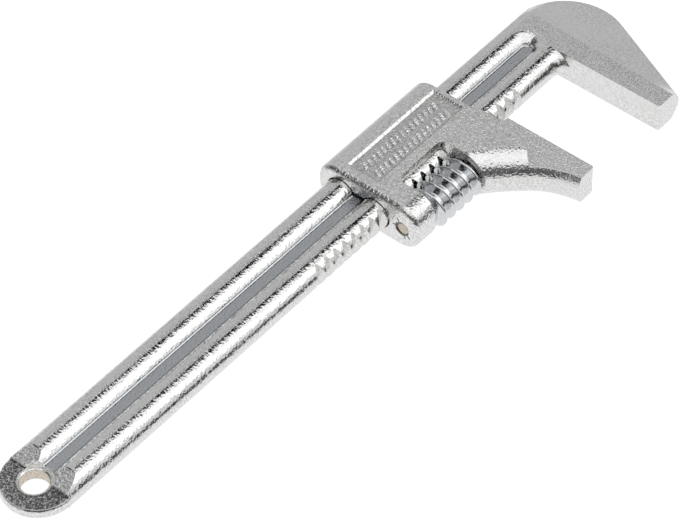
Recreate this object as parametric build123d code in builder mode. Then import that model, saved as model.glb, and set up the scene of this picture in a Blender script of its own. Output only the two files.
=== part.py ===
from build123d import *
import math
import os

# Adjustable wrench with a figure-eight bar, a sliding jaw and an adjusting worm, in millimetres.
# The origin is the centre of the hang hole, half-way through the thickness. +X runs along the bar
# to the fixed jaw, the jaws point to -Y, and +Z is up.

# Bar: two round lobes joined by a web
lobe_radius = 5.55
lobe_offset = 7.03
web_half = 2.4
web_fillet = 0.9
bar_half_width = lobe_offset + lobe_radius

# Hang-hole end
hole_radius = 4.7
hole_lip = 0.4
pad_tip_x = -10.6
lobe_start = pad_tip_x + bar_half_width
pad_edge_radius = 1.6
boss_radius = 6.4
ramp_low_z = 3.0
ramp_high_z = 5.15
ramp_end = 8.5
ramp_step = 0.35

# Fixed jaw and head
jaw_face_x = 243.0
jaw_tip_y = -52.3
jaw_half = lobe_radius
jaw_inner_radius = 4.0
jaw_corner = 0.8
strip_end_x = 250.0
groove_end_x = jaw_face_x - jaw_inner_radius
crown_x = 250.4
crown_y = -8.0
crown_radius = 21.1
crown_edge_half = 1.6
crown_edge_rise = 0.3
bevel_top_x = 251.8
bevel_tip_x = 250.3
jaw_tip_back_x = 253.8
crown_stations = 16

# Rack on the bar's jaw side, and the worm that runs in it
pitch = 4.375
rack_first_x = 118.35
notch_count = 24
notch_depth = 2.75
notch_bottom = 0.7
notch_half_angle = 30.0
notch_margin = 1.0
worm_y = -18.5
worm_outer_radius = 7.9
worm_root_radius = 5.3
worm_bore_radius = 2.4
worm_start = 161.5
worm_end = 182.9
worm_end_chamfer = 0.9
thread_crest = 0.9
thread_crest_chamfer = 0.25
thread_flank_angle = 24.0
thread_overlap = 0.4
lead_angle = math.degrees(math.atan(pitch / (math.pi * (worm_outer_radius + worm_root_radius))))

# Sliding jaw
slider_start = 151.6
slider_end = 202.0
slider_half = 9.0
slider_back_y = 17.4
slider_front_y = -24.3
slider_back_radius = 8.0
slider_front_radius = 7.0
slider_end_radius = 1.3
slider_start_radius = 2.2
channel_clearance = 0.35
channel_web_half = 3.5
moving_face_x = 207.7
moving_top_y = -16.8
moving_tip_y = -52.2
moving_tip_back_x = 199.6
neck_start_x = 180.0
neck_start_y = -23.4
neck_inner_y = -9.0
neck_bend = (190.6, -33.6)
neck_waist = (195.8, -40.4)
neck_start_slope = (1, -0.9)
neck_end_slope = (0.15, -1)
neck_edge_radius = 8.0
blade_corner = 0.8
blade_half = 5.55
blade_top_x = 202.5
step_x = 202.5
step_top_y = -26.0
step_middle = (198.5, -31.9)
step_end = (193.0, -38.5)
step_start_slope = (0, -1)
step_end_slope = (-0.5, -1)

# Worm window in the sliding jaw
window_start = 161.0
window_end = 183.7
window_length = window_end - window_start
window_back_y = -8.4
window_corner = 2.4

# Recessed panel on each side of the sliding jaw
panel_x = (156.0, 199.8)
panel_y = (-4.8, 8.1)
panel_bevel = 0.8
panel_depth = 0.7
rib_height = 0.45
rib_length = 3.4
rib_width = 1.15
rib_pitch = 2.35
rib_count = 16
rib_first_x = 159.2
rib_rows_y = (3.3, -1.9)
rib_slant = 25.0

# Worm pin
pin_radius = 2.35
pin_fit = 0.01
pin_start = 151.7
pin_length = 38.5
pin_chamfer = 0.3
pin_relief_radius = 2.8
pin_relief_depth = 1.6
pin_relief_shift = (0.42, -0.3)
stake_size = (1.5, 0.5)
stake_reach = 3.5
stake_depth = 0.8
stake_angles = (0, 56, 228, 258)

edge_tolerance = 0.01

os.makedirs("parts", exist_ok=True)


def figure_eight(clearance, web):
    """Draw the bar's section, grown by a clearance, in the current sketch."""
    with Locations((lobe_offset, 0), (-lobe_offset, 0)):
        Circle(lobe_radius + clearance)
    Rectangle(2 * lobe_offset, 2 * web)


# Handle bar, with the hang-hole pad at one end and the fixed jaw at the other
tip_to_crown = math.hypot(crown_x - jaw_tip_back_x, crown_y - jaw_tip_y)
back_angle = math.atan2(crown_y - jaw_tip_y, crown_x - jaw_tip_back_x)
back_angle -= math.asin(crown_radius / tip_to_crown)
back_length = math.sqrt(tip_to_crown**2 - crown_radius**2)
back_end_y = jaw_tip_y + back_length * math.sin(back_angle)
crown_top_y = math.sqrt(lobe_radius**2 - crown_edge_half**2) + lobe_offset


def back_x(y):
    """Give the head's back edge: a straight taper from the tip, then the round crown."""
    if y < back_end_y:
        return jaw_tip_back_x + (y - jaw_tip_y) / math.tan(back_angle)
    return crown_x + math.sqrt(crown_radius**2 - (y - crown_y) ** 2)


def head_section(y):
    """Draw the head behind the flat strip, as a section across Y, in the current sketch."""
    top = jaw_half
    if y > lobe_offset:
        top = math.sqrt(lobe_radius**2 - (y - lobe_offset) ** 2)
        top = max(top, crown_edge_half + crown_edge_rise)
    share = (y - jaw_tip_y) / (crown_top_y - jaw_tip_y)
    bevel_x = bevel_tip_x + share * (bevel_top_x - bevel_tip_x)
    Polygon(
        (strip_end_x, top),
        (bevel_x, top),
        (back_x(y), crown_edge_half),
        (back_x(y), -crown_edge_half),
        (bevel_x, -top),
        (strip_end_x, -top),
        align=None,
    )


with BuildPart() as handle_bar:
    with BuildSketch(Plane.YZ.offset(lobe_start)) as bar_section:
        figure_eight(0, web_half)
        fillet(bar_section.vertices().filter_by(lambda v: abs(v.X) < lobe_offset / 2), web_fillet)
    extrude(amount=groove_end_x - lobe_start)
    # The lobes join round the end of the groove
    with BuildSketch(Plane.YZ.offset(groove_end_x)) as half_section:
        figure_eight(0, web_half)
        fillet(half_section.vertices().filter_by(lambda v: abs(v.X) < lobe_offset / 2), web_fillet)
        with Locations((lobe_offset / 2, 0)):
            Rectangle(lobe_offset, 2 * lobe_radius, mode=Mode.INTERSECT)
    revolve(axis=Axis((groove_end_x, 0, 0), (0, 0, -1)), revolution_arc=180)
    # The lower lobe's outer side turns the inner corner of the jaw
    with BuildSketch(Plane.YZ.offset(groove_end_x)):
        with Locations((-lobe_offset, 0)):
            Circle(lobe_radius)
        with Locations((-lobe_offset, 0)):
            Rectangle(lobe_radius, 2 * lobe_radius, align=(Align.MAX, Align.CENTER), mode=Mode.INTERSECT)
    corner_y = -bar_half_width - jaw_inner_radius
    revolve(axis=Axis((groove_end_x, corner_y, 0), (0, 0, -1)), revolution_arc=90)
    # Upper lobe's run to the head
    with BuildSketch(Plane.YZ.offset(groove_end_x)):
        with Locations((lobe_offset, 0)):
            Circle(lobe_radius)
    extrude(amount=strip_end_x - groove_end_x)
    # Flat strip of the jaw
    with BuildSketch() as strip:
        with BuildLine():
            Polyline(
                (groove_end_x, lobe_offset),
                (strip_end_x, lobe_offset),
                (strip_end_x, jaw_tip_y),
                (jaw_face_x, jaw_tip_y),
                (jaw_face_x, -lobe_offset),
                (groove_end_x, -lobe_offset),
                close=True,
            )
        make_face()
        with Locations((groove_end_x, 0)):
            Circle(lobe_offset, mode=Mode.SUBTRACT)
        fillet(strip.vertices().sort_by_distance((jaw_face_x, jaw_tip_y))[0], jaw_corner)
    extrude(amount=jaw_half, both=True)
    # Head behind the strip: a straight taper up to the crown, then the crown
    with BuildSketch(Plane.XZ.offset(-jaw_tip_y)):
        head_section(jaw_tip_y)
    for station in range(crown_stations + 1):
        turn = math.sin(math.pi / 2 * station / crown_stations)
        y = back_end_y + turn * (crown_top_y - back_end_y)
        with BuildSketch(Plane.XZ.offset(-y)):
            head_section(y)
    loft(ruled=True)
    # Lobe ends: a ramp, a low step and a flat round the hole
    ramp_ceiling = 2 * lobe_radius
    for side in (1, -1):
        with BuildSketch(Plane.XZ.offset(bar_half_width)):
            with BuildLine():
                Polyline(
                    (lobe_start, side * ramp_low_z),
                    (ramp_end, side * ramp_high_z),
                    (ramp_end + ramp_step, side * lobe_radius),
                    (ramp_end + ramp_step, side * ramp_ceiling),
                    (lobe_start, side * ramp_ceiling),
                    close=True,
                )
            make_face()
        extrude(amount=-2 * bar_half_width, mode=Mode.SUBTRACT)
        with BuildSketch(Plane.XY.offset(side * web_half)):
            Circle(boss_radius)
        extrude(amount=side * lobe_radius, mode=Mode.SUBTRACT)
    # Round end with the hang hole and its small lip
    with BuildSketch(Plane.XZ) as pad_profile:
        with Locations((lobe_start, 0)):
            Rectangle(bar_half_width, 2 * web_half, align=(Align.MAX, Align.CENTER))
        fillet(pad_profile.vertices().group_by(Axis.X)[0], pad_edge_radius)
    revolve(axis=Axis((lobe_start, 0, 0), (0, 0, 1)), revolution_arc=90)
    revolve(pad_profile.sketch, axis=Axis((lobe_start, 0, 0), (0, 0, -1)), revolution_arc=90)
    with BuildSketch(Plane.XY.offset(-web_half)):
        Circle(hole_radius)
    extrude(amount=2 * web_half, mode=Mode.SUBTRACT)
    hole_edges = handle_bar.edges().filter_by(GeomType.CIRCLE)
    hole_edges = hole_edges.filter_by(lambda e: abs(e.radius - hole_radius) < edge_tolerance)
    chamfer(hole_edges, hole_lip)
    # Rack: V notches that lean with the worm's lead
    notch_outer = notch_depth + notch_margin
    half_bottom = notch_bottom / 2
    half_mouth = half_bottom + notch_outer * math.tan(math.radians(notch_half_angle))
    lean = math.radians(lead_angle)
    with BuildSketch():
        with Locations((rack_first_x, -bar_half_width + notch_depth)):
            with GridLocations(pitch, 1, notch_count, 1, align=(Align.MIN, Align.CENTER)):
                Polygon(
                    (-half_bottom, 0),
                    (half_bottom, 0),
                    (half_mouth, -notch_outer),
                    (-half_mouth, -notch_outer),
                    align=None,
                )
    extrude(
        amount=2 * lobe_radius,
        dir=(math.sin(lean), 0, math.cos(lean)),
        both=True,
        mode=Mode.SUBTRACT,
    )
handle_bar.part.label = "handle_bar"
export_step(handle_bar.part, "parts/handle_bar.step")

# Neck and blade of the sliding jaw, round along their outer side
with BuildPart() as neck:
    with BuildSketch() as neck_outline:
        with BuildLine():
            Spline(
                (neck_start_x, neck_start_y),
                neck_bend,
                neck_waist,
                (moving_tip_back_x, moving_tip_y),
                tangents=(neck_start_slope, neck_end_slope),
            )
            Polyline(
                (moving_tip_back_x, moving_tip_y),
                (moving_face_x, moving_tip_y),
                (moving_face_x, moving_top_y),
                (blade_top_x, moving_top_y),
                (blade_top_x, neck_inner_y),
                (neck_start_x, neck_inner_y),
                (neck_start_x, neck_start_y),
            )
        make_face()
        fillet(
            neck_outline.vertices().sort_by_distance((moving_face_x, moving_tip_y))[0],
            blade_corner,
        )
    extrude(amount=slider_half, both=True)
    neck_edges = neck.edges().filter_by(GeomType.BSPLINE)
    fillet(neck_edges.filter_by(lambda e: abs(e.center().Z) > slider_half / 2), neck_edge_radius)

# Sliding jaw: collar, neck and blade in one forging
with BuildPart() as sliding_jaw:
    with BuildSketch(Plane.YZ.offset(slider_start)) as collar_section:
        with Locations(((slider_back_y + slider_front_y) / 2, 0)):
            Rectangle(slider_back_y - slider_front_y, 2 * slider_half)
        fillet(collar_section.vertices().group_by(Axis.X)[-1], slider_back_radius)
        fillet(collar_section.vertices().group_by(Axis.X)[0], slider_front_radius)
    extrude(amount=slider_end - slider_start)
    fillet(sliding_jaw.edges().group_by(Axis.X)[-1], slider_end_radius)
    fillet(sliding_jaw.edges().group_by(Axis.X)[0], slider_start_radius)
    # The neck takes the place of the collar's lower front corner
    with BuildSketch():
        with Locations((neck_start_x, neck_inner_y)):
            Rectangle(2 * window_length, -2 * slider_front_y, align=(Align.MIN, Align.MAX))
    extrude(amount=slider_half, both=True, mode=Mode.SUBTRACT)
    add(neck.part)
    # The blade is as thick as the bar, so the collar steps down to it
    for side in (1, -1):
        with BuildSketch(Plane.XY.offset(side * blade_half)):
            with BuildLine():
                Polyline(
                    (moving_face_x + slider_half, neck_inner_y),
                    (step_x, neck_inner_y),
                    (step_x, step_top_y),
                )
                Spline(
                    (step_x, step_top_y),
                    step_middle,
                    step_end,
                    tangents=(step_start_slope, step_end_slope),
                )
                Polyline(
                    step_end,
                    (step_end[0], moving_tip_y - slider_half),
                    (moving_face_x + slider_half, moving_tip_y - slider_half),
                    (moving_face_x + slider_half, neck_inner_y),
                )
            make_face()
        extrude(amount=side * slider_half, mode=Mode.SUBTRACT)
    # Channel for the bar
    with BuildSketch(Plane.YZ.offset(slider_start)):
        figure_eight(channel_clearance, channel_web_half)
    extrude(amount=blade_top_x + slider_half - slider_start, mode=Mode.SUBTRACT)
    # Window for the worm
    with BuildSketch() as window_outline:
        with BuildLine():
            Polyline(
                (window_start, slider_front_y - slider_half),
                (window_start, window_back_y - window_corner),
                (window_start + window_corner, window_back_y),
                (window_end, window_back_y),
                (window_end, slider_front_y - slider_half),
                close=True,
            )
        make_face()
        fillet(
            window_outline.vertices().sort_by_distance((window_end, window_back_y))[0],
            window_corner,
        )
    extrude(amount=slider_half, both=True, mode=Mode.SUBTRACT)
    # Hole for the worm pin, with a wider staked mouth
    with BuildSketch(Plane.YZ.offset(slider_start)):
        with Locations((worm_y, 0)):
            Circle(pin_radius + pin_fit)
    extrude(amount=pin_start - slider_start + pin_length + pin_fit, mode=Mode.SUBTRACT)
    mouth_y = worm_y + pin_relief_shift[0]
    mouth_z = pin_relief_shift[1]
    with BuildSketch(Plane.YZ.offset(slider_start)):
        with Locations((mouth_y, mouth_z)):
            Circle(pin_relief_radius)
    extrude(amount=pin_relief_depth, mode=Mode.SUBTRACT)
    with BuildSketch(Plane.YZ.offset(slider_start)):
        with Locations((worm_y, 0)):
            for angle in stake_angles:
                with PolarLocations(stake_reach, 1, start_angle=angle):
                    SlotOverall(*stake_size)
    extrude(amount=stake_depth, mode=Mode.SUBTRACT)
    # Recessed panels with two rows of slanted ribs
    panel_centre = (sum(panel_x) / 2, sum(panel_y) / 2)
    panel_size = (panel_x[1] - panel_x[0], panel_y[1] - panel_y[0])
    for side in (1, -1):
        with BuildSketch(Plane.XY.offset(side * slider_half)):
            with Locations(panel_centre):
                Rectangle(*panel_size)
        with BuildSketch(Plane.XY.offset(side * (slider_half - panel_depth))):
            with Locations(panel_centre):
                Rectangle(panel_size[0] - 2 * panel_bevel, panel_size[1] - 2 * panel_bevel)
        loft(mode=Mode.SUBTRACT)
        with BuildSketch(Plane.XY.offset(side * (slider_half - panel_depth))):
            for row_y in rib_rows_y:
                for rib in range(rib_count):
                    with Locations((rib_first_x + rib * rib_pitch, row_y)):
                        SlotOverall(rib_length, rib_width, rotation=90 - rib_slant)
        extrude(amount=side * rib_height)
sliding_jaw.part.label = "sliding_jaw"
export_step(sliding_jaw.part, "parts/sliding_jaw.step")

# Adjusting worm: a single right-hand thread on a bored core
thread_height = worm_outer_radius - worm_root_radius
thread_flank = thread_height * math.tan(math.radians(thread_flank_angle))
thread_turns = math.ceil((worm_end - worm_start) / pitch) + 2
quarter_turn = 0.25
thread_phase = (worm_start - rack_first_x) / pitch
thread_start_x = rack_first_x + (math.floor(thread_phase) - 1 + quarter_turn) * pitch
bevel_reach = 2 * worm_outer_radius - (worm_outer_radius - worm_end_chamfer)
with BuildPart() as worm_thread:
    axial = Plane(origin=(thread_start_x, worm_y, 0), x_dir=(0, 0, 1), z_dir=(0, 1, 0))
    with BuildLine() as path:
        Helix(
            pitch=pitch,
            height=thread_turns * pitch,
            radius=worm_root_radius,
            center=(thread_start_x, worm_y, 0),
            direction=(1, 0, 0),
        )
    with BuildSketch(axial):
        with BuildLine():
            Polyline(
                (worm_root_radius - thread_overlap, -thread_crest / 2 - thread_flank),
                (worm_root_radius, -thread_crest / 2 - thread_flank),
                (worm_outer_radius - thread_crest_chamfer, -thread_crest / 2),
                (worm_outer_radius, -thread_crest / 2 + thread_crest_chamfer),
                (worm_outer_radius, thread_crest / 2 - thread_crest_chamfer),
                (worm_outer_radius - thread_crest_chamfer, thread_crest / 2),
                (worm_root_radius, thread_crest / 2 + thread_flank),
                (worm_root_radius - thread_overlap, thread_crest / 2 + thread_flank),
                close=True,
            )
        make_face()
    sweep(path=path.line, is_frenet=True)
    with BuildSketch(Plane.YZ.offset(worm_start)):
        with Locations((worm_y, 0)):
            Circle(2 * worm_outer_radius)
    extrude(amount=worm_end - worm_start, mode=Mode.INTERSECT)

with BuildPart() as adjusting_worm:
    with Locations((worm_start, worm_y, 0)):
        Cylinder(
            worm_root_radius,
            worm_end - worm_start,
            rotation=(0, 90, 0),
            align=(Align.CENTER, Align.CENTER, Align.MIN),
        )
    add(worm_thread.part)
    # Bevel the ends
    with BuildSketch(Plane.XY):
        with BuildLine():
            Polyline(
                (worm_start, worm_y),
                (worm_start, worm_y - worm_outer_radius + worm_end_chamfer),
                (worm_start + bevel_reach, worm_y - 2 * worm_outer_radius),
                (worm_end - bevel_reach, worm_y - 2 * worm_outer_radius),
                (worm_end, worm_y - worm_outer_radius + worm_end_chamfer),
                (worm_end, worm_y),
                close=True,
            )
        make_face()
    revolve(axis=Axis((0, worm_y, 0), (1, 0, 0)), mode=Mode.INTERSECT)
    with BuildSketch(Plane.YZ.offset(worm_start)):
        with Locations((worm_y, 0)):
            Circle(worm_bore_radius)
    extrude(amount=worm_end - worm_start, mode=Mode.SUBTRACT)
adjusting_worm.part.label = "adjusting_worm"
export_step(adjusting_worm.part, "parts/adjusting_worm.step")

# Worm pin: a plain rod, staked in the sliding jaw
with BuildPart() as worm_pin:
    with BuildSketch(Plane.YZ.offset(pin_start)):
        with Locations((worm_y, 0)):
            Circle(pin_radius)
    extrude(amount=pin_length)
    chamfer(worm_pin.edges().filter_by(GeomType.CIRCLE), pin_chamfer)
worm_pin.part.label = "worm_pin"
export_step(worm_pin.part, "parts/worm_pin.step")
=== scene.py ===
import math

import bpy
from mathutils import Matrix, Vector


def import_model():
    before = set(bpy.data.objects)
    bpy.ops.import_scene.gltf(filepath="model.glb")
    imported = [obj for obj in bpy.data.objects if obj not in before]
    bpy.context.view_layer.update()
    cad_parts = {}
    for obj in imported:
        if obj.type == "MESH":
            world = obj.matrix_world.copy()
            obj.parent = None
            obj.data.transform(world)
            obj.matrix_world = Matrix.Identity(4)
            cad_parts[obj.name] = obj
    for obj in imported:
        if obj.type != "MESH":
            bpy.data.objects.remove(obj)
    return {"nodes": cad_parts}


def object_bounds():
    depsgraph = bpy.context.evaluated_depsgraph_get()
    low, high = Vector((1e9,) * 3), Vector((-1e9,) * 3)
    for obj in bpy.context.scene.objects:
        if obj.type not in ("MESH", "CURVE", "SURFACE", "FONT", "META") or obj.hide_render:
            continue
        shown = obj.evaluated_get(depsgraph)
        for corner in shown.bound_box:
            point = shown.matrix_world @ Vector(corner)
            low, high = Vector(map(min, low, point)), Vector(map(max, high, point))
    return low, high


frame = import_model()
cad_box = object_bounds()
nodes = frame["nodes"]

MM = 0.001


# Node helpers

class Nodes:
    """A small builder for one node tree."""

    def __init__(self, tree):
        self.tree = tree
        tree.nodes.clear()

    def add(self, kind, **values):
        node = self.tree.nodes.new(kind)
        for name, value in values.items():
            setattr(node, name, value)
        return node

    def link(self, source, target):
        """Set a socket to a number, or feed it from another socket."""
        if isinstance(source, (int, float)):
            target.default_value = source
        else:
            self.tree.links.new(source, target)

    def finish(self, kind, surface):
        self.link(surface, self.add(kind).inputs["Surface"])

    def axes(self, vector):
        node = self.add("ShaderNodeSeparateXYZ")
        self.link(vector, node.inputs[0])
        return [node.outputs[axis] for axis in "XYZ"]

    def math(self, operation, a, b=0.0, clamp=False):
        node = self.add("ShaderNodeMath", operation=operation, use_clamp=clamp)
        self.link(a, node.inputs[0])
        self.link(b, node.inputs[1])
        return node.outputs[0]

    def plus(self, a, b, clamp=False):
        return self.math("ADD", a, b, clamp)

    def times(self, first, *others):
        product = first
        for other in others:
            product = self.math("MULTIPLY", product, other)
        return product

    def without(self, share):
        return self.math("SUBTRACT", 1.0, share)

    def noise(self, where, size, detail=2.0, rough=0.5):
        """Noise whose features are about size metres across, from 0 to 1."""
        node = self.add("ShaderNodeTexNoise")
        node.inputs["Scale"].default_value = 1.0 / size
        node.inputs["Detail"].default_value = detail
        node.inputs["Roughness"].default_value = rough
        self.link(where, node.inputs["Vector"])
        return node.outputs["Fac"]

    def cells(self, where, size):
        """Distance to the nearest of many scattered points about size metres apart."""
        node = self.add("ShaderNodeTexVoronoi")
        node.inputs["Scale"].default_value = 1.0 / size
        self.link(where, node.inputs["Vector"])
        return node.outputs["Distance"]

    def step(self, value, start, end, out_start=0.0, out_end=1.0):
        """A smooth step from out_start to out_end as value goes from start to end."""
        node = self.add("ShaderNodeMapRange", interpolation_type="SMOOTHSTEP")
        self.link(value, node.inputs["Value"])
        node.inputs["From Min"].default_value = start
        node.inputs["From Max"].default_value = end
        node.inputs["To Min"].default_value = out_start
        node.inputs["To Max"].default_value = out_end
        return node.outputs["Result"]

    def inside(self, value, low, high, blur):
        """1 where value lies between low and high, in metres, fading over blur outside them."""
        return self.times(self.step(value, low - blur, low), self.step(value, high + blur, high))

    def mix(self, share, a, b):
        node = self.add("ShaderNodeMix", data_type="FLOAT")
        self.link(share, node.inputs[0])
        self.link(a, node.inputs[2])
        self.link(b, node.inputs[3])
        return node.outputs[0]

    def mix_colour(self, share, a, b):
        node = self.add("ShaderNodeMix", data_type="RGBA")
        self.link(share, node.inputs[0])
        for value, socket in ((a, node.inputs[6]), (b, node.inputs[7])):
            if isinstance(value, tuple):
                socket.default_value = (*value, 1.0)
            else:
                self.link(value, socket)
        return node.outputs[2]


def new_material(name):
    material = bpy.data.materials.new(name)
    material.use_nodes = True
    return material, Nodes(material.node_tree)


# Steel: how upright a flat is, the widths of the bumps and stains, and how strongly each one shows

FLAT_NORMAL = (0.988, 0.998)
GRAIN_SIZE = 0.78 * MM
GRAIN_DETAIL = 1.5
GRAIN_FINENESS = 0.6
GRAIN_SHADES = (0.3, 0.7)
GRAIN_ROUGH_SPAN = (0.35, 0.65)
GRAIN_ROUGH = 0.05
GRAIN_ON_CURVES = 0.6
GRAIN_ON_FLATS = 1.7
SPECK_SIZE = 0.9 * MM
SPECK_SHARE = 0.6
PEEL_SIZE = 1.3 * MM
PEEL_ON_CURVES = 1.5
PEEL_ON_FLATS = 0.8
STAIN_SIZE = 14 * MM
STAIN_DETAIL = 3.0
STAIN_ROUGH_SPAN = (0.3, 0.7)
STAIN_ROUGH = 0.04
STAIN_TINT_SPAN = (0.35, 0.7)
STAIN_TINT = 0.93
STAIN_SHARE = 0.5
EDGE_RADIUS = 0.35 * MM
EDGE_SAMPLES = 4
RELIEF_HEIGHT = 0.12 * MM


def steel(name, tint, dark_tint, flat_rough, curved_rough, grain, peel, zones=None):
    """Forged and plated steel: blasted grain on the flats, a glossier orange peel on the curves."""
    material, n = new_material(name)
    where = n.add("ShaderNodeTexCoord").outputs["Object"]
    upright = n.axes(n.add("ShaderNodeNewGeometry").outputs["True Normal"])[2]
    flat = n.step(n.math("ABSOLUTE", upright), *FLAT_NORMAL)

    fine = n.noise(where, GRAIN_SIZE, GRAIN_DETAIL, GRAIN_FINENESS)
    speck = n.cells(where, SPECK_SIZE)
    broad = n.noise(where, PEEL_SIZE)
    stain = n.noise(where, STAIN_SIZE, STAIN_DETAIL)

    rough = n.mix(flat, curved_rough, flat_rough)
    rough = n.plus(rough, n.step(stain, *STAIN_ROUGH_SPAN, -STAIN_ROUGH, STAIN_ROUGH))
    rough = n.plus(rough, n.step(fine, *GRAIN_ROUGH_SPAN, -GRAIN_ROUGH, GRAIN_ROUGH), clamp=True)

    colour = n.mix_colour(n.step(fine, *GRAIN_SHADES), dark_tint, tint)
    shade = tuple(STAIN_TINT * c for c in tint)
    colour = n.mix_colour(n.step(stain, *STAIN_TINT_SPAN, 0.0, STAIN_SHARE), colour, shade)

    height = n.times(fine, n.mix(flat, GRAIN_ON_CURVES * grain, GRAIN_ON_FLATS * grain))
    relief = n.plus(n.times(speck, SPECK_SHARE * peel), n.times(broad, peel))
    height = n.plus(height, n.times(relief, n.mix(flat, PEEL_ON_CURVES, PEEL_ON_FLATS)))
    if zones:
        colour, rough, height = zones(n, where, colour, rough, height, fine)

    rounded = n.add("ShaderNodeBevel", samples=EDGE_SAMPLES)
    rounded.inputs["Radius"].default_value = EDGE_RADIUS
    bump = n.add("ShaderNodeBump")
    bump.inputs["Strength"].default_value = 1.0
    bump.inputs["Distance"].default_value = RELIEF_HEIGHT
    n.link(height, bump.inputs["Height"])
    n.link(rounded.outputs["Normal"], bump.inputs["Normal"])

    shader = n.add("ShaderNodeBsdfPrincipled")
    shader.inputs["Metallic"].default_value = 1.0
    n.link(colour, shader.inputs["Base Color"])
    n.link(rough, shader.inputs["Roughness"])
    n.link(bump.outputs["Normal"], shader.inputs["Normal"])
    n.finish("ShaderNodeOutputMaterial", shader.outputs["BSDF"])
    return material


# Places on the handle bar, measured from the middle of the hang hole. Z is taken either way from the
# middle plane. A pair for step runs from none to full, and a pair for inside is its two limits.

PAD_END_X = (2.6 * MM, 1.6 * MM)
PAD_Z = (2.05 * MM, 2.7 * MM)
PAD_Z_BLUR = 0.25 * MM
PAD_RADIUS = (5.4 * MM, 6.2 * MM)
PAD_ROUGH = 0.16
PIT_SIZE = 0.85 * MM
PIT_DETAIL = 2.0
PIT_FINENESS = 0.7
PIT_RELIEF = 16.0
# The next three values paint shade into the hollows of the pits: where it starts and ends, how strong it
# is, and its near-black colour.
PIT_SHADE_SPAN = (0.60, 0.46)
PIT_SHADE_SHARE = 0.85
PIT_SHADE_COLOUR = (0.08, 0.08, 0.085)
BORE_RADIUS = (4.95 * MM, 4.80 * MM)
BORE_Z = (2.2 * MM, 1.9 * MM)
BORE_DARK = (0.64, 0.56, 0.47)
BORE_TINT = (0.82, 0.75, 0.67)
BORE_ROUGH = 0.5
GROOVE_HALF_WIDTH = 5.2 * MM
GROOVE_SIDE_BLUR = 0.5 * MM
GROOVE_Z = (3.0 * MM, 2.6 * MM)
GROOVE_X = (7 * MM, 245 * MM)
GROOVE_END_BLUR = 1 * MM
GROOVE_SHARE = 0.8
GROOVE_COLOUR = (0.47, 0.49, 0.52)
GROOVE_RELIEF = 0.4


def bar_zones(n, where, colour, rough, height, fine):
    """The pitted end pad with painted shade in its hollows, the bare wall of the hang hole, and the smooth
    groove floor.
    """
    x, y, z = n.axes(where)
    off_middle = n.math("ABSOLUTE", z)
    radius = n.math("SQRT", n.plus(n.times(x, x), n.times(y, y)))

    pad = n.times(n.step(x, *PAD_END_X), n.inside(off_middle, *PAD_Z, PAD_Z_BLUR))
    pad = n.times(pad, n.step(radius, *PAD_RADIUS))
    pits = n.noise(where, PIT_SIZE, PIT_DETAIL, PIT_FINENESS)
    height = n.plus(height, n.times(pits, pad, PIT_RELIEF))
    # Painted shade: the low hollows of the pits are darkened towards near black.
    pit_shade = n.times(pad, n.step(pits, *PIT_SHADE_SPAN, 0.0, PIT_SHADE_SHARE))
    colour = n.mix_colour(pit_shade, colour, PIT_SHADE_COLOUR)
    rough = n.mix(pad, rough, PAD_ROUGH)

    bore = n.times(n.step(radius, *BORE_RADIUS), n.step(off_middle, *BORE_Z))
    scored = n.mix_colour(n.step(fine, *GRAIN_SHADES), BORE_DARK, BORE_TINT)
    colour = n.mix_colour(bore, colour, scored)
    rough = n.mix(bore, rough, BORE_ROUGH)

    groove = n.inside(y, -GROOVE_HALF_WIDTH, GROOVE_HALF_WIDTH, GROOVE_SIDE_BLUR)
    groove = n.times(groove, n.step(off_middle, *GROOVE_Z))
    groove = n.times(groove, n.inside(x, *GROOVE_X, GROOVE_END_BLUR))
    colour = n.mix_colour(n.times(groove, GROOVE_SHARE), colour, GROOVE_COLOUR)
    height = n.times(height, n.mix(groove, 1.0, GROOVE_RELIEF))
    return colour, rough, height


# Places on the sliding jaw's panel, in the same measures: its length, its width, its ribs and its floor

PANEL_X = (157 * MM, 199 * MM)
PANEL_Y = (-4.2 * MM, 7.4 * MM)
RIB_Y = (-4.0 * MM, 6.0 * MM)
PANEL_BLUR = 0.2 * MM
RIB_TOP_Z = (8.42 * MM, 8.85 * MM)
RIB_TOP_Z_BLUR = 0.08 * MM
# A painted highlight: the near-white colour laid on the rib tops.
RIB_HIGHLIGHT_COLOUR = (0.95, 0.95, 0.95)
RIB_ROUGH = 0.14
RIB_RELIEF = 8.0
RECESS_Z = (8.0 * MM, 8.34 * MM)
RECESS_Z_BLUR = 0.04 * MM
# The next two values paint shade on the panel's recessed floor: its dark grey and how much of it is laid
# on.
RECESS_SHADE_COLOUR = (0.42, 0.42, 0.41)
RECESS_SHADE_SHARE = 0.35


def jaw_zones(n, where, colour, rough, height, fine):
    """The panel's recessed floor, darkened with painted shade, and the tops of its ribs, smoother and
    painted near white as a highlight.
    """
    x, y, z = n.axes(where)
    off_middle = n.math("ABSOLUTE", z)
    along = n.inside(x, *PANEL_X, PANEL_BLUR)
    tops = n.times(n.inside(off_middle, *RIB_TOP_Z, RIB_TOP_Z_BLUR), along)
    tops = n.times(tops, n.inside(y, *RIB_Y, PANEL_BLUR))
    recess = n.times(n.inside(off_middle, *RECESS_Z, RECESS_Z_BLUR), along)
    recess = n.times(recess, n.inside(y, *PANEL_Y, PANEL_BLUR))
    # Painted shade: the recessed floor of the panel is darkened.
    colour = n.mix_colour(n.times(recess, RECESS_SHADE_SHARE), colour, RECESS_SHADE_COLOUR)
    # Painted highlight: the rib tops are made near white.
    colour = n.mix_colour(tops, colour, RIB_HIGHLIGHT_COLOUR)
    rough = n.mix(tops, rough, RIB_ROUGH)
    height = n.plus(height, n.times(fine, tops, RIB_RELIEF))
    return colour, rough, height


# Each piece's steel

PLATED_TINT = (0.84, 0.84, 0.825)
PLATED_DARK = (0.62, 0.62, 0.605)
BRIGHT_TINT = (0.74, 0.75, 0.76)
BRIGHT_DARK = (0.60, 0.61, 0.62)
BARE_TINT = (0.66, 0.59, 0.50)
BARE_DARK = (0.50, 0.44, 0.37)

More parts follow.
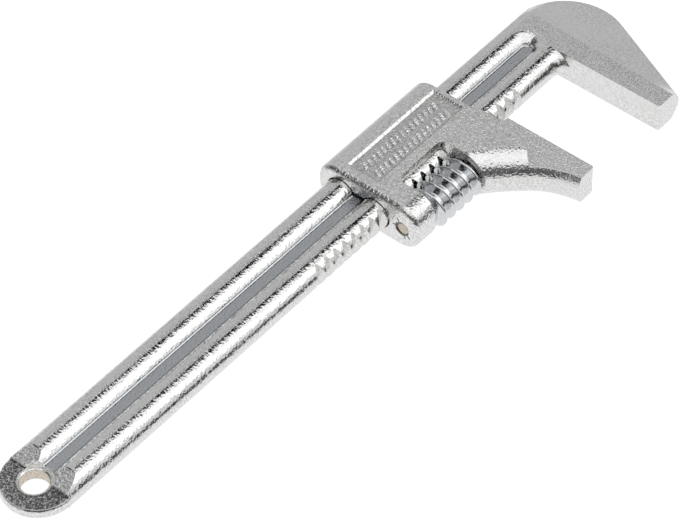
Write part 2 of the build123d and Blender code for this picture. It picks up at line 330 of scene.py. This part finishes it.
BAR = steel("plated_bar", PLATED_TINT, PLATED_DARK,
            flat_rough=0.28, curved_rough=0.11, grain=1.2, peel=0.5, zones=bar_zones)
JAW = steel("plated_jaw", PLATED_TINT, PLATED_DARK,
            flat_rough=0.22, curved_rough=0.12, grain=2.4, peel=0.6, zones=jaw_zones)
BRIGHT = steel("bright_steel", BRIGHT_TINT, BRIGHT_DARK,
               flat_rough=0.2, curved_rough=0.10, grain=0.1, peel=0.12)
BARE = steel("bare_steel", BARE_TINT, BARE_DARK,
             flat_rough=0.5, curved_rough=0.4, grain=0.8, peel=0.3)


def dress(node, material):
    """Give a piece one material in place of what it came with."""
    mesh = nodes[node].data
    mesh.materials.clear()
    mesh.materials.append(material)


dress("handle_bar", BAR)
dress("sliding_jaw", JAW)
dress("adjusting_worm", BRIGHT)
dress("worm_pin", BARE)


# Floor

MIDDLE_X = 0.13
FLOOR_SIDE = 12.0
FLOOR_GREY = (0.5, 0.5, 0.5, 1.0)
FLOOR_ROUGH = 0.9
FLOOR_GLOW = 0.80
WHITE = (1.0, 1.0, 1.0, 1.0)


def floor():
    """A pale, evenly lit table top. It is left out of reflections, where the studio stands in for it."""
    bpy.ops.mesh.primitive_plane_add(size=FLOOR_SIDE, location=(MIDDLE_X, 0.0, cad_box[0].z))
    plane = bpy.context.object
    plane.name = "floor"
    plane.visible_glossy = False
    material, n = new_material("pale_floor")
    shader = n.add("ShaderNodeBsdfPrincipled")
    shader.inputs["Base Color"].default_value = FLOOR_GREY
    shader.inputs["Roughness"].default_value = FLOOR_ROUGH
    shader.inputs["Specular IOR Level"].default_value = 0.0
    shader.inputs["Emission Color"].default_value = WHITE
    shader.inputs["Emission Strength"].default_value = FLOOR_GLOW
    n.finish("ShaderNodeOutputMaterial", shader.outputs["BSDF"])
    plane.data.materials.append(material)


# Studio, by direction: +X is the head's end, -Y the jaws' side, +Z up. A pair runs from none to full.

BANK_LEAN = 1.3
BANK_LEAN_X = 0.51
BANK_LEANING_EDGE = (-0.08, -0.16)
BANK_BACK_EDGE = (0.36, 0.26)
BANK_FOOT = (0.01, 0.05)
BANK_RISE = (0.10, 0.95)
BANK_FOOT_LEVEL = 0.82
BANK_TOP_LEVEL = 1.20
CORNER_X = (0.10, -0.35)
CORNER_Y = (0.02, -0.1)
CORNER_Z = (0.55, 0.35)
CORNER_LEVEL = 0.16
GAP_X = (0.30, 0.42)
GAP_Y = (0.38, 0.30)
GAP_Z = (0.70, 0.76)
GAP_LEVEL = 0.0
HOLE_END_X = (-0.02, -0.30)
HOLE_END_Z = (-0.05, 0.05)
HOLE_END_LEVEL = 0.12
ROOM_LEVEL = 0.59
TABLE_FAR = (-0.46, -0.16)
TABLE_JAW_SIDE = (0.15, -0.15)
TABLE_LEVEL = 0.98
TABLE_FAR_JAW_LEVEL = 0.05
TABLE_FAR_BACK_LEVEL = 0.55
HORIZON = (-0.02, 0.02)
STUDIO_WHITE = (0.985, 0.992, 1.0, 1.0)


def world():
    """A studio seen in the steel.

    Above the horizon it is grey, and darker at the hang hole's end. A bright bank stands over the jaws'
    side, with a black gap beside its leaning edge and a dim low corner. Below the horizon is a pale table,
    which darkens towards the horizon, most of all on the jaws' side.
    """
    sky = bpy.data.worlds.new("studio")
    bpy.context.scene.world = sky
    sky.use_nodes = True
    n = Nodes(sky.node_tree)
    x, y, z = n.axes(n.add("ShaderNodeTexCoord").outputs["Generated"])

    lean = n.plus(y, n.times(n.math("SUBTRACT", x, BANK_LEAN_X), BANK_LEAN))
    bank = n.times(n.step(lean, *BANK_LEANING_EDGE), n.step(y, *BANK_BACK_EDGE), n.step(z, *BANK_FOOT))
    corner = n.times(n.step(x, *CORNER_X), n.step(z, *CORNER_Z))
    bank = n.times(bank, n.without(corner))
    gap = n.times(n.step(y, *GAP_Y), n.step(z, *GAP_Z), n.step(x, *GAP_X))
    hole_end = n.times(n.step(x, *HOLE_END_X), n.step(z, *HOLE_END_Z))
    room = n.mix(hole_end, ROOM_LEVEL, HOLE_END_LEVEL)
    upper = n.mix(gap, room, GAP_LEVEL)
    upper = n.mix(bank, upper, n.step(z, *BANK_RISE, BANK_FOOT_LEVEL, BANK_TOP_LEVEL))
    upper = n.mix(n.times(corner, n.step(y, *CORNER_Y)), upper, CORNER_LEVEL)

    far = n.step(z, *TABLE_FAR)
    jaw_side = n.step(y, *TABLE_JAW_SIDE)
    lower = n.mix(n.times(far, jaw_side), TABLE_LEVEL, TABLE_FAR_JAW_LEVEL)
    lower = n.mix(n.times(far, n.without(jaw_side)), lower, TABLE_FAR_BACK_LEVEL)
    level = n.mix(n.step(z, *HORIZON), lower, upper)

    background = n.add("ShaderNodeBackground")
    background.inputs["Color"].default_value = STUDIO_WHITE
    n.link(level, background.inputs["Strength"])
    n.finish("ShaderNodeOutputWorld", background.outputs["Background"])


# Lamp and camera: places in metres, power in watts, roll in degrees, lens and sensor in millimetres

KEY_PLACE = (0.9, -1.1, 1.1)
KEY_AIM = (MIDDLE_X, 0, 0)
KEY_SIZE = (0.9, 0.9)
KEY_POWER = 2
EYE = Vector((-0.45431, -0.51869, 0.83842))
AIM = Vector((0.12881, -0.01120, 0.0))
ROLL = 1.394
LENS = 190.66
SENSOR = 36.0
CLIP_START = 0.05
CLIP_END = 20.0


def softbox(name, place, aim, size, power):
    """A soft rectangular lamp at place, facing aim."""
    data = bpy.data.lights.new(name, "AREA")
    data.shape = "RECTANGLE"
    data.size, data.size_y = size
    data.energy = power
    lamp = bpy.data.objects.new(name, data)
    lamp.location = place
    lamp.rotation_euler = (Vector(aim) - Vector(place)).to_track_quat("-Z", "Y").to_euler()
    bpy.context.scene.collection.objects.link(lamp)


def camera():
    """A long-lens view from above, from the hang hole's end on the jaws' side."""
    data = bpy.data.cameras.new("camera")
    data.sensor_width = SENSOR
    data.lens = LENS
    data.clip_start = CLIP_START
    data.clip_end = CLIP_END
    turn = (AIM - EYE).to_track_quat("-Z", "Y").to_matrix()
    turn = turn @ Matrix.Rotation(-math.radians(ROLL), 3, "Z")
    cam = bpy.data.objects.new("camera", data)
    cam.matrix_world = Matrix.Translation(EYE) @ turn.to_4x4()
    bpy.context.scene.collection.objects.link(cam)
    bpy.context.scene.camera = cam


floor()
world()
softbox("key", KEY_PLACE, KEY_AIM, KEY_SIZE, KEY_POWER)
camera()
bpy.context.scene.view_settings.view_transform = "Standard"
